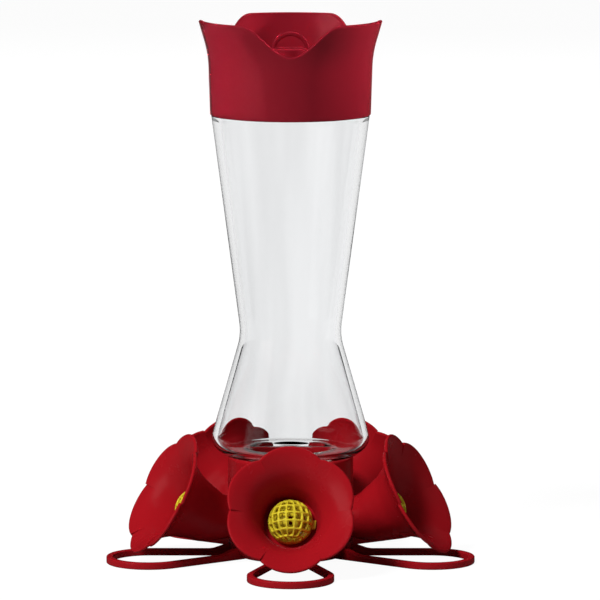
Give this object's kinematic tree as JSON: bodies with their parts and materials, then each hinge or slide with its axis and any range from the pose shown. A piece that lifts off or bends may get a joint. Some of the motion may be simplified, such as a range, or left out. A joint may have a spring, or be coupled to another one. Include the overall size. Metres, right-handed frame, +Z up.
{
  "type": "hummingbird feeder",
  "caption": "Hanging hummingbird feeder: an upturned pinch-waist glass bottle with an ant moat cap on a red base with flower-shaped ports, yellow bee guards and perch loops.",
  "frame": {"origin": "on the feeder's axis, in the flat underside that it stands on", "axes": "+Z up along the bottle, the front flower and its perch face -Y, +X to the right"},
  "size_m": [0.1378, 0.1326, 0.2021],
  "materials": {
    "glass": "clear polished",
    "red_plastic": "smooth gloss",
    "yellow_plastic": "smooth gloss",
    "seal_rubber": "translucent matt"
  },
  "bodies": {
    "tray": {"nectar_tray": "red_plastic", "tray_seal": "seal_rubber"},
    "cover": {"base_cover": "red_plastic", "flower_1": "red_plastic", "flower_2": "red_plastic", "flower_3": "red_plastic", "flower_4": "red_plastic", "flower_5": "red_plastic"},
    "gasket": {"bottle_gasket": "seal_rubber"},
    "bottle": {"glass_bottle": "glass", "moat_cap": "red_plastic"},
    "guard_1": {"bee_guard_1": "yellow_plastic"},
    "guard_2": {"bee_guard_2": "yellow_plastic"},
    "guard_3": {"bee_guard_3": "yellow_plastic"},
    "guard_4": {"bee_guard_4": "yellow_plastic"},
    "guard_5": {"bee_guard_5": "yellow_plastic"}
  },
  "joints": [
    {"name": "cover_lift", "type": "slide", "parent": "tray", "child": "cover", "axis": [0, 0, 1], "range_m": [0, 0.02]},
    {"name": "gasket_lift", "type": "slide", "parent": "cover", "child": "gasket", "axis": [0, 0, 1], "range_m": [0, 0.006]},
    {"name": "bottle_turn", "type": "hinge", "parent": "gasket", "child": "bottle", "pos_m": [0, 0, 0.0245], "axis": [0, 0, 1], "range_deg": [0, 540]},
    {"name": "guard_1_pull", "type": "slide", "parent": "cover", "child": "guard_1", "axis": [0, -0.8829, 0.4695], "range_m": [0, 0.012]},
    {"name": "guard_2_pull", "type": "slide", "parent": "cover", "child": "guard_2", "axis": [0.8397, -0.2728, 0.4695], "range_m": [0, 0.012]},
    {"name": "guard_3_pull", "type": "slide", "parent": "cover", "child": "guard_3", "axis": [0.519, 0.7143, 0.4695], "range_m": [0, 0.012]},
    {"name": "guard_4_pull", "type": "slide", "parent": "cover", "child": "guard_4", "axis": [-0.519, 0.7143, 0.4695], "range_m": [0, 0.012]},
    {"name": "guard_5_pull", "type": "slide", "parent": "cover", "child": "guard_5", "axis": [-0.8397, -0.2728, 0.4695], "range_m": [0, 0.012]}
  ],
  "couplings": [
    {"joint": "gasket_lift", "follows": "bottle_turn", "m_per_rad": 0.000636}
  ]
}
